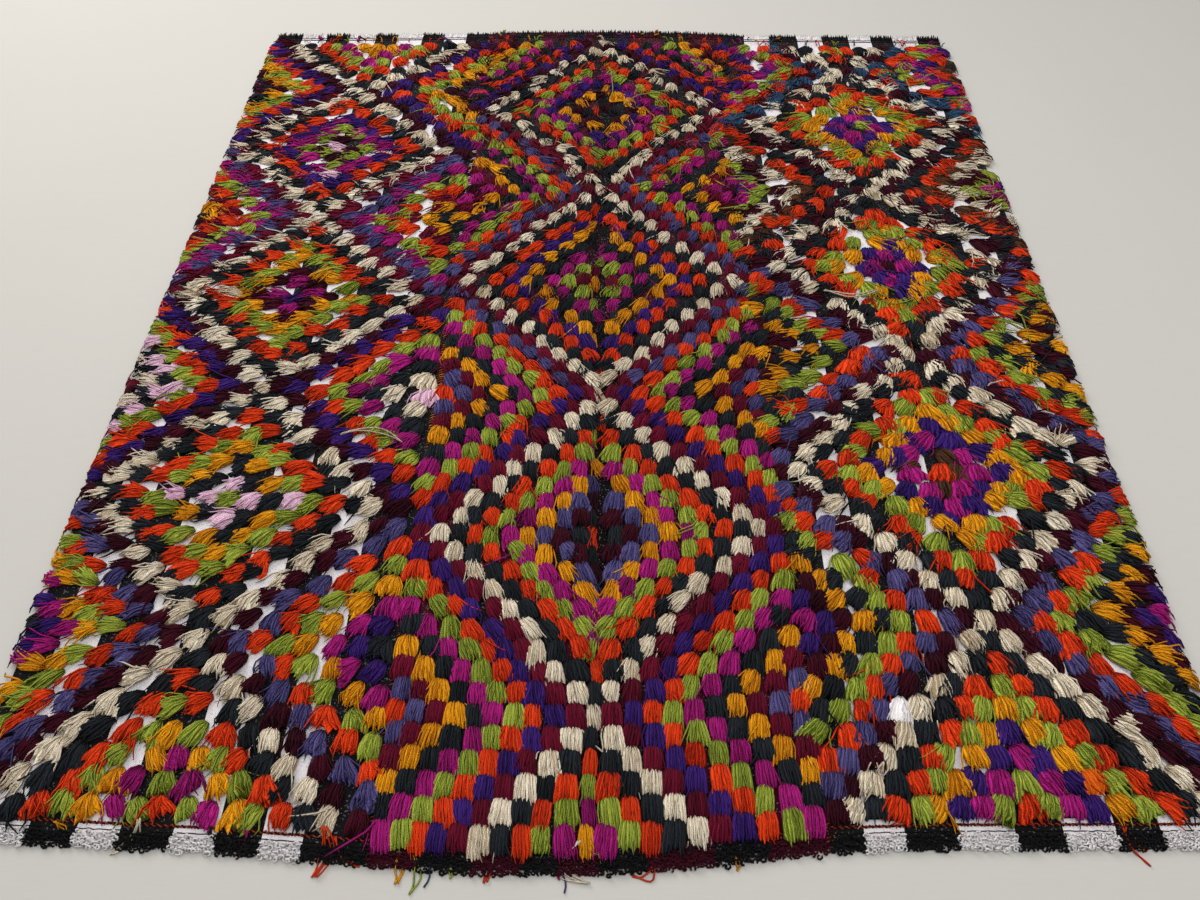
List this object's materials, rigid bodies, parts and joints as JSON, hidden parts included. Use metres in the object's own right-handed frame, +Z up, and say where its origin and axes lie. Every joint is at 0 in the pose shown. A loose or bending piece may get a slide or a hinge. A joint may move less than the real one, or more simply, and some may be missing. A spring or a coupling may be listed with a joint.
{
  "type": "tulu rug",
  "caption": "Shag-pile wool rug of sewn strips with a lozenge pattern, knotted warp ends and tufts past its selvages, laid flat on a floor.",
  "frame": {"origin": "middle of the rug's bounding box, on the floor under it", "axes": "+X across the rug, +Y along it to its far end, +Z up from the floor"},
  "size_m": [1.5152, 1.7538, 0.0214],
  "materials": {
    "pile_wool": "matt long wool pile of plied yarn in many colours",
    "warp_wool": "matt dark wool, woven cloth and its knotted warp ends"
  },
  "bodies": {
    "root": {"strip_left": "pile_wool", "strip_middle": "pile_wool", "strip_right": "pile_wool", "locks_left": "pile_wool", "locks_right": "pile_wool", "fringe_near_left": "warp_wool", "fringe_near_middle": "warp_wool", "fringe_near_right": "warp_wool", "fringe_far_left": "warp_wool", "fringe_far_middle": "warp_wool", "fringe_far_right": "warp_wool"}
  },
  "joints": []
}
